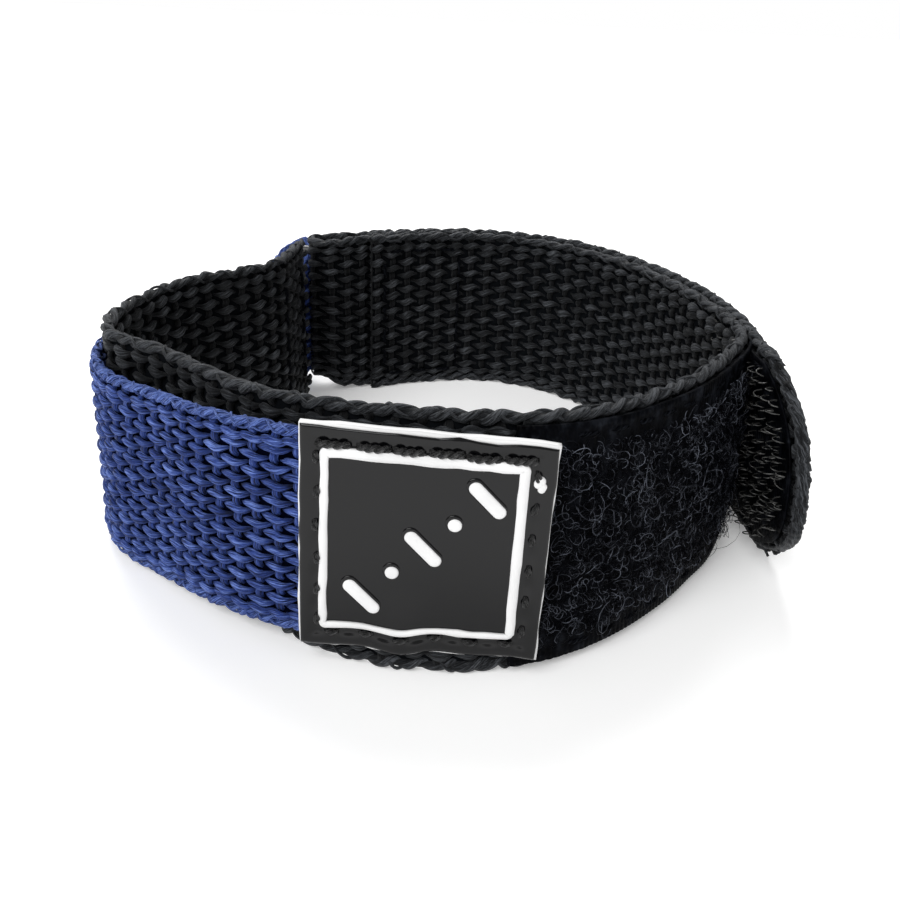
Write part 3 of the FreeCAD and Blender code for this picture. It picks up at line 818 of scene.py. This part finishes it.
def ragged_square(half, count, rough, seed, top_inset=0.0):
    """A square grid of (u, v) whose outline is slightly uneven, as cut by hand."""
    line = np.linspace(-1, 1, count)
    u, v = np.meshgrid(line, line, indexing="ij")
    waves = np.random.default_rng(SEED + seed).normal(0, 1, (4, 14))
    knots = np.linspace(-1, 1, 14)
    right, left, top, bottom = (np.interp(line, knots, w) * rough for w in waves)
    us = u * half + (u + 1) / 2 * right[None, :] - (1 - u) / 2 * left[None, :]
    vs = v * half + (v + 1) / 2 * (top[:, None] - top_inset) - (1 - v) / 2 * bottom[:, None]
    return us, vs


def film_relief(u, v):
    """The sewn channel round the film, dimpled at each stitch, and its rounded cut edge."""
    edge = PATCH_HALF - np.maximum(np.abs(u), np.abs(v))
    along = np.where(np.abs(u) > np.abs(v), v, u)
    dimple = 0.65 + 0.35 * np.cos(2 * np.pi * along / SEAM_PITCH)
    channel = 0.16 * dimple * np.exp(-((edge - SEAM_INSET) / 0.4) ** 2)
    return -channel - 0.10 * np.exp(-np.maximum(edge - 0.07, 0) / 0.08)


def patch_slab(name, half, front, back, count, rough, seed, relief, material, top_inset=0.0):
    u, v = ragged_square(half, count, rough, seed, top_inset)
    yarns = Yarns()
    faces = (patch_place(u, v, front + relief(u, v)), patch_place(u, v, back))
    slab(yarns, *faces, (0, 0, 0), 1.0)
    return yarns.make(name, material)


def swept_loop(yarns, u, v, out_u, out_v, profile, width, rise, base):
    """A closed bead along a closed line of the patch, with a profile of (across, up) points."""
    across = np.array([p[0] for p in profile]) * width[:, None]
    up = np.array([p[1] for p in profile]) * rise[:, None]
    u, v = (middle[:, None] + out[:, None] * across for middle, out in ((u, out_u), (v, out_v)))
    rings = patch_place(u, v, base + up)
    m, n = rings.shape[:2]
    index = np.arange(m * n).reshape(m, n)
    ahead, beyond = np.roll(index, -1, 0), np.roll(index, -1, 1)
    quads = np.stack([index, beyond, np.roll(ahead, -1, 1), ahead], -1)
    yarns.add(rings, quads, np.zeros(rings.shape), 1.0)


def rounded_square(half, radius, per_side=60, per_corner=8):
    """Points of a square line with their outward directions and the number of the side each belongs to."""
    flat = half - radius
    rows = []
    for side in range(4):
        a = math.pi / 2 * side
        cos_a, sin_a = math.cos(a), math.sin(a)
        for t in np.linspace(-1, 1, per_side, endpoint=False):
            u, v = half * cos_a - flat * t * sin_a, half * sin_a + flat * t * cos_a
            rows.append((u, v, cos_a, sin_a, side))
        corner = (flat * (cos_a - sin_a), flat * (sin_a + cos_a))
        for b in a + np.arange(per_corner) / per_corner * math.pi / 2:
            out = (math.cos(b), math.sin(b))
            rows.append((corner[0] + radius * out[0], corner[1] + radius * out[1], *out, side))
    return np.array(rows).T


def frame_bead(name, base, material):
    """The raised square line, uneven in width, a little wider to the left than to the right."""
    u, v, out_u, out_v, side = rounded_square(FRAME_HALF, FRAME_CORNER)
    u, v = FRAME_STRETCH[0] * u + FRAME_SHIFT, FRAME_STRETCH[1] * v
    count = len(u)
    knots = np.arange(60)
    at = np.linspace(0, knots[-1], count)
    draws = np.random.default_rng(SEED + 70).normal(0, 0.022, (2, 60))
    wander, shift = (np.interp(at, knots, row) for row in draws)
    thick = FRAME_HALF_WIDTHS[side.astype(int)]
    thick = np.convolve(np.tile(thick, 3), np.ones(9) / 9, "same")[count:2 * count] + wander
    profile = [(-1.0, -0.6), (-0.98, 0.6), (-0.9, 0.93), (0, 1.0), (0.9, 0.93), (0.98, 0.6), (1.0, -0.6)]
    yarns = Yarns()
    swept_loop(yarns, u + out_u * shift, v + out_v * shift, out_u, out_v, profile, thick,
               np.full(count, FRAME_RISE), base)
    return yarns.make(name, material)


def pill(yarns, centre, angle, length, half, rise, base, sides=32):
    """A domed round-ended bar on the patch. A length of 0 gives a dot."""
    a = 2 * np.pi * (np.arange(sides) + 0.5) / sides
    reach = length / 2 * np.sign(np.cos(a))
    levels = [(0.0, -0.3), (0.0, 0.55), (0.10, 0.85), (0.28, 1.0), (0.6, 1.1), (0.93, 1.12)]
    rings = []
    for inset, up in levels:
        r = half * (1 - inset)
        x, y = reach + r * np.cos(a), r * np.sin(a)
        u = centre[0] + x * math.cos(angle) - y * math.sin(angle)
        v = centre[1] + x * math.sin(angle) + y * math.cos(angle)
        rings.append(patch_place(u, v, base + rise * up))
    rings = np.array(rings)
    index = np.arange(rings[..., 0].size).reshape(rings.shape[:2])
    beyond = np.roll(index, -1, 1)
    walls = np.stack([index[:-1], beyond[:-1], beyond[1:], index[1:]], -1).reshape(-1, 4)
    i = np.arange(sides // 2 - 1)
    cap = np.stack([i, i + 1, sides - 2 - i, sides - 1 - i], -1)
    quads = np.concatenate([walls, index[-1][cap], index[0][cap[:, ::-1]]])
    yarns.add(rings, quads, np.zeros(rings.shape), 1.0)


def patch_marks(white, black):
    """Plain bars and dots in a diagonal row, each in a raised black lip."""
    marks, lips = Yarns(), Yarns()
    for number in range(-2, 3):
        at = number * MARK_GAP * math.sqrt(0.5)
        length = 0.0 if number % 2 else MARK_LENGTH
        pill(marks, (at, at), -math.pi / 4, length, MARK_HALF, MARK_RISE, FILM_FRONT)
        lip_centre = (at + LIP_SHIFT[0], at + LIP_SHIFT[1])
        pill(lips, lip_centre, -math.pi / 4, length, LIP_HALF, LIP_RISE, FILM_FRONT)
    for u, v, half in NICK:
        pill(marks, (u, v), 1.2, 0.25, half, 0.26, FILM_FRONT - 0.06, sides=12)
    return marks.make("patch_bars", white), lips.make("patch_bar_lips", black)


def patch_sewing(material):
    """Lockstitches in the channel: long ropes along the top, pulled-in knots on the other sides."""
    line = PATCH_HALF - SEAM_INSET
    count = int(2 * line / SEAM_PITCH) + 1
    at = (np.arange(count) - (count - 1) / 2) * SEAM_PITCH
    draw = np.random.default_rng(SEED + 80)
    yarns = Yarns()
    normal = unit(patch_place(0, 0, 1) - patch_place(0, 0, 0))
    for side, (place, length, rise, radius) in enumerate(SEAM_KINDS):
        a = math.pi / 2 * side
        offset = line + draw.normal(0, 0.07, (2, count)) - (0.1 if place == "top" else 0.0)
        ends = []
        for sign, off in zip((-1, 1), offset):
            run = at + sign * length / 2 * draw.uniform(0.85, 1.1, count)
            u, v = off * math.cos(a) - run * math.sin(a), off * math.sin(a) + run * math.cos(a)
            ends.append(patch_place(u, v, FILM_FRONT - 0.1))
        sew(yarns, *ends, np.broadcast_to(normal, ends[0].shape), rise + 0.1, radius, sink=SEAM_SINK,
            turns=length / 1.3, seed=100 + 10 * side)
    return yarns.make("patch_sewing", material)


# -------- ring

RING_LOW, RING_HIGH, RING_CORNER, WIRE_RADIUS = 4.3, 17.6, 1.1, 0.6


def wire_ring(name, material):
    """The return ring: a closed rectangle of round wire, with rounded corners."""
    a, b = np.array(LEFT_BAR), np.array(RIGHT_BAR)
    length = np.linalg.norm(b - a)
    corners = ((length, RING_LOW), (length, RING_HIGH), (0.0, RING_HIGH), (0.0, RING_LOW))
    points = []
    for number, (x, z) in enumerate(corners):
        x_in = RING_CORNER if x == 0 else -RING_CORNER
        z_in = RING_CORNER if z == RING_LOW else -RING_CORNER
        for t in np.linspace(0, math.pi / 2, 7):
            across, up = 1 - math.sin(t), 1 - math.cos(t)
            if number % 2:
                across, up = up, across
            points.append((x + x_in * across, z + z_in * up))
    points = np.array(points + points[:2])
    plan = a + points[:, :1] / length * (b - a)
    path = np.concatenate([plan, points[:, 1:]], 1)[None] * MM
    beside_ring = (*(np.array([a[1] - b[1], b[0] - a[0]]) / length), 0.0)
    yarns = Yarns()
    yarns.tubes(path, beside_ring, WIRE_RADIUS, WIRE_RADIUS, sides=16)
    return yarns.make(name, material)


# -------- build: materials and courses


def declare(piece, body, slot, *nodes):
    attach(piece, body)
    if nodes:
        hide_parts(*nodes)
    return piece


make_camera()
make_studio()

black_yarn = yarn_material("black_webbing", (0.0018, 0.002, 0.0024), (0.0125, 0.0138, 0.0158),
                           (0.084, 0.090, 0.100), 0.06, (0.75, 0.78, 0.82))
blue_yarn = yarn_material("blue_webbing", (0.001, 0.002, 0.014), (0.026, 0.056, 0.26), (0.19, 0.29, 0.72),
                          0.06, (0.6, 0.75, 1.0))
# dark matte sheets in the weave's middle: their colour is painted shade in the gaps between the cords
black_shade_core = plain_material("black_shade_core", (0.004, 0.0046, 0.0055), 0.9, gloss=0.0)
blue_shade_core = plain_material("blue_shade_core", (0.001, 0.0015, 0.006), 0.9, gloss=0.0)
thread = yarn_material("sewing_thread", (0.001, 0.001, 0.001), (0.003, 0.003, 0.004), (0.03, 0.03, 0.03),
                       roughness=0.27, gloss=0.8)
tape_yarn = yarn_material("tape_base", (0.0003, 0.0003, 0.0006), (0.0020, 0.0023, 0.0034),
                          (0.015, 0.017, 0.022), strands=0.8, gloss=0.02)
# the second colour of the pile hair and of the hook wire is a painted glint
pile_hair = filament_material("pile_hair", (0.0008, 0.0010, 0.0022), (0.215, 0.235, 0.285), 0.4, 0.0,
                              gloss=0.04)
hook_wire = filament_material("hook_wire", (0.004, 0.004, 0.004), (0.26, 0.26, 0.25), 0.2, 0.3, gloss=0.3)

band_ribbon = Ribbon(
    Course(band), [(0, 0.0)], [(0, 20.0)],
    lean=[(53, 0.0), (60, 1.35), (66, 2.1), (72, 1.95), (78, 1.4), (83, 1.0), (88, 0.8), (95, 0.5),
          (98, 0.7), (102, 0.5), (107, 0.1), (112, -0.1), (122, 0.1), (150, 0.0)],
    shift=[(9, -0.2), (14, 0.6), (20, 1.4), (32, 1.5), (37, 0.9), (41, 0.2), (53, 0.0), (60, 0.3), (72, 0.5),
           (78, 0.3), (83, -0.3), (88, -1.0), (95, -1.1), (98, -0.7), (102, -0.5), (107, 0.3), (112, 0.8),
           (120, 1.5), (130, 2.0), (150, 2.0), (156, 1.5), (164, 1.0)])
strap_ribbon = Ribbon(
    Course(strap, folds=[(FOLD_START, FOLD_STOP)]),
    [(LAP, 0.0), (FOLD_START - 1.2, 0.5), (FOLD_START, 1.7), (FOLD_STOP, 1.7), (FOLD_STOP + 2, 0.4),
     (FOLD_STOP + 5, 0.0), (PEEL + 2, 0.0), (PEEL + 8, 0.4), (STRAP_END, 0.4)],
    [(LAP, 20.0), (FOLD_START, 19.6), (FOLD_STOP, 19.6), (FOLD_STOP + 5, 19.9), (FOLD_STOP + 55, 20.1),
     (STRAP_END, 20.0)],
    lean=[(FOLD_STOP + 25, 0.0), (FOLD_STOP + 50, -0.75), (PEEL - 2, -1.1), (PEEL + 6, -1.6),
          (PEEL + 9, -1.35), (PEEL + 12, -1.1), (STRAP_END, -0.75)],
    shift=[(0, 1.4), (LAP, 0.8), (FOLD_START - 1, 0.0), (FOLD_START, -0.55), (FOLD_STOP, -0.5),
           (FOLD_STOP + 3, 0.0), (FOLD_STOP + 45, 0.0), (FOLD_STOP + 58, -0.35), (PEEL, 0.1), (PEEL + 6, 0.6),
           (PEEL + 9, 0.4), (PEEL + 12, 0.0), (STRAP_END, -0.6)])
blue_ribbon = Ribbon(
    Course(blue, folds=[(BLUE_FOLD_START, BLUE_FOLD_STOP)]),
    [(LAP - 2, 0.9), (BLUE_FOLD_START, 2.0), (BLUE_FOLD_STOP + 1, 2.0), (BLUE_FOLD_STOP + 6, 0.9),
     (BLUE_FOLD_STOP + 38, 0.3), (BLUE_FOLD_STOP + 50, 0.5), (BLUE_END, 2.0)],
    [(LAP - 2, 16.6), (BLUE_FOLD_START - 1, 16.4), ((BLUE_FOLD_START + BLUE_FOLD_STOP) / 2, 18.9),
     (BLUE_FOLD_STOP + 1, 16.8), (BLUE_FOLD_STOP + 5, 16.4),
     (BLUE_FOLD_STOP + 38, 17.4), (BLUE_FOLD_STOP + 50, 17.7), (BLUE_END, 19.2)],
    lean=[(50, 0.0), (62, 0.4), (72, 0.3), (BLUE_END, 0.15)],
    shift=[(12, 0.0), (BLUE_FOLD_START, 0.45), (BLUE_FOLD_STOP, 0.45), (25, -0.6), (29, -1.8), (35, -1.8),
           (40, -0.2), (45, 1.4), (54, 1.5), (58, 0.9), (61, 0.1), (64, -0.5), (70, -0.6), (76, -0.2),
           (BLUE_END, -0.1)])

# -------- build: webbing

SPLITS = (55.0, 110.0)
BLUE_SPLIT = 44.0
FOLD_EASE_IN, FOLD_EASE_OUT = FOLD_START - 1.5, FOLD_STOP + 3
ROUND_LENGTH = 11.0
black = dict(material=black_yarn, shade_core_material=black_shade_core)
blue_yarns = dict(material=blue_yarn, shade_core_material=blue_shade_core)
web = {
    "band_left": webbing("web_band_left", band_ribbon, BLACK_WEAVE, 0, SPLITS[0], **black),
    "band_front": webbing("web_band_front", band_ribbon, BLACK_WEAVE, *SPLITS, **black),
    "band_right": webbing("web_band_right", band_ribbon, BLACK_WEAVE, SPLITS[1], BAND_LENGTH,
                          end=CUT_END, **black),
    "anchor": webbing("web_anchor", strap_ribbon, STRAP_WEAVE, 0, FOLD_EASE_IN, **black),
    "fold": webbing("web_fold", strap_ribbon, STRAP_WEAVE, FOLD_EASE_IN, FOLD_EASE_OUT, **black),
    "strap": webbing("web_strap", strap_ribbon, STRAP_WEAVE, FOLD_EASE_OUT, BEND_START, **black),
    "bend": webbing("web_tail_bend", strap_ribbon, STRAP_WEAVE, BEND_START, BEND_STOP, **black),
    "tail": webbing("web_tail", strap_ribbon, STRAP_WEAVE, BEND_STOP, STRAP_END,
                    trim=rounded(STRAP_END, ROUND_LENGTH), end=ROUND_END, **black),
    "blue_back": webbing("web_blue_back", blue_ribbon, BLUE_WEAVE, 0, BLUE_SPLIT, **blue_yarns),
    "blue_front": webbing("web_blue_front", blue_ribbon, BLUE_WEAVE, BLUE_SPLIT, BLUE_END, **blue_yarns),
}
STIFF_WEBBING = (
    ("band_left", "root", "inner_band"), ("band_front", "root"), ("band_right", "root"),
    ("anchor", "root", "strap_anchor"), ("strap", "strap", "strap_run"), ("tail", "tail", "strap_tail"),
    ("blue_front", "root", "blue_band"), ("blue_back", "root"),
)
for place, body, *nodes in STIFF_WEBBING:
    slot = "blue_webbing" if place.startswith("blue") else "black_webbing"
    declare(web[place][0], body, slot, *nodes)
    declare(web[place][1], body, slot)

# -------- build: tapes

pile_base = strip("pile_base", band_ribbon, PILE_START, PILE_STOP, *PILE_FACES, tape_yarn)
declare(pile_base, "root", "pile_fabric", "pile_tape")
for number, (low, high) in enumerate(PILE_PARTS):
    hair = fuzz(f"pile_fuzz_{number}", band_ribbon, PILE_START + 0.2, PILE_STOP - 0.2, low, high, PILE_ROOT,
                PILE_HAIRS, pile_hair, 40 + number)
    declare(hair, "root", "pile_fabric")
stray = fuzz("pile_stray", band_ribbon, PILE_START + 1, PILE_STOP - 1, 0.12, 0.88, PILE_ROOT,
             STRAY_HAIRS, pile_hair, 44, reach=1.9)
declare(stray, "root", "pile_fabric")

hook_spans = {
    "run": (BEND_START - HOOK_ENGAGED, BEND_START, None),
    "bend": (BEND_START, BEND_STOP, None),
    "tail": (BEND_STOP, STRAP_END - 0.4, rounded(STRAP_END - 0.9, ROUND_LENGTH - 0.5)),
}
hook_pieces = {}
for seed, (place, (start, stop, trim)) in enumerate(hook_spans.items()):
    base = strip(f"hook_base_{place}", strap_ribbon, start, stop, *HOOK_FACES, tape_yarn, (0.05, 0.95), trim)
    curls = hooks(f"hook_curls_{place}", strap_ribbon, start, stop, HOOK_ROOT, hook_wire, 60 + seed, trim)
    hook_pieces[place] = (base, curls)
for piece in hook_pieces["run"]:
    declare(piece, "strap", "hook_nylon")
for piece in hook_pieces["tail"]:
    declare(piece, "tail", "hook_nylon")
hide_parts("hook_tape_run")
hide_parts("hook_tape_tail")

# -------- build: pieces at the fold and the tail bend

for piece in web["fold"]:
    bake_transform(piece)
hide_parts("strap_fold")
for piece in (*web["bend"], *hook_pieces["bend"]):
    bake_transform(piece)
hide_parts("tail_bend")

# -------- build: patch and ring

white_pvc = pvc_material("patch_white", (0.80, 0.80, 0.80), 0.45, 0.15, 0.1)
black_pvc = pvc_material("patch_black", (0.001, 0.001, 0.0015), 0.14, 0.12, 0.14, gloss=0.33)
core = patch_slab("patch_core", CORE_HALF_SIDE, CORE_FRONT, 0.0, 60, 0.06, 71, lambda u, v: 0 * u, white_pvc)
film = patch_slab("patch_film", FILM_HALF_SIDE, FILM_FRONT, CORE_FRONT - FILM_OVERLAP, 120, 0.05, 72,
                  film_relief, black_pvc, top_inset=FILM_TOP_INSET)
bead = frame_bead("patch_line", FILM_FRONT, white_pvc)
bars, lips = patch_marks(white_pvc, black_pvc)
declare(core, "root", "patch_white", "patch_backing")
declare(film, "root", "patch_black", "patch_face")
declare(bead, "root", "patch_white", "patch_frame")
declare(bars, "root", "patch_white", "patch_marks")
declare(lips, "root", "patch_black")
declare(patch_sewing(thread), "root", "sewing_thread", "patch_stitches")

declare(wire_ring("wire_ring", coated_wire_material("ring_wire")), "root", "ring_wire", "return_ring")

# -------- build: sewing

lap_start, lap_stop = BAND_LENGTH - LAP + 1, BAND_LENGTH - 1.5
anchor_sewing = Yarns()
sew_rows(anchor_sewing, band_ribbon, lap_start, lap_stop, (0.1, 0.9), INNER_FACE, -1)
sew_columns(anchor_sewing, band_ribbon, (lap_start, lap_stop), 0.15, 0.85, INNER_FACE, -1)
declare(anchor_sewing.make("anchor_sewing", tape_yarn), "root", "sewing_thread", "anchor_stitches")
blue_sewing = Yarns()
sew_columns(blue_sewing, band_ribbon, (3.0, 9.5), 0.15, 0.85, INNER_FACE, -1)
declare(blue_sewing.make("blue_sewing", tape_yarn), "root", "sewing_thread", "blue_loop_stitches")
pile_sewing = Yarns()
sew_rows(pile_sewing, band_ribbon, PILE_START + 4, PILE_STOP - 11, (0.085, 0.915), 1.0, 1)
declare(pile_sewing.make("pile_sewing", tape_yarn), "root", "sewing_thread", "pile_stitches")
hook_sewing = Yarns()
sew_rows(hook_sewing, strap_ribbon, BEND_STOP + 2, STRAP_END - 9, (0.085, 0.915), 0.92, 1)
declare(hook_sewing.make("hook_sewing", tape_yarn), "tail", "sewing_thread", "hook_stitches")
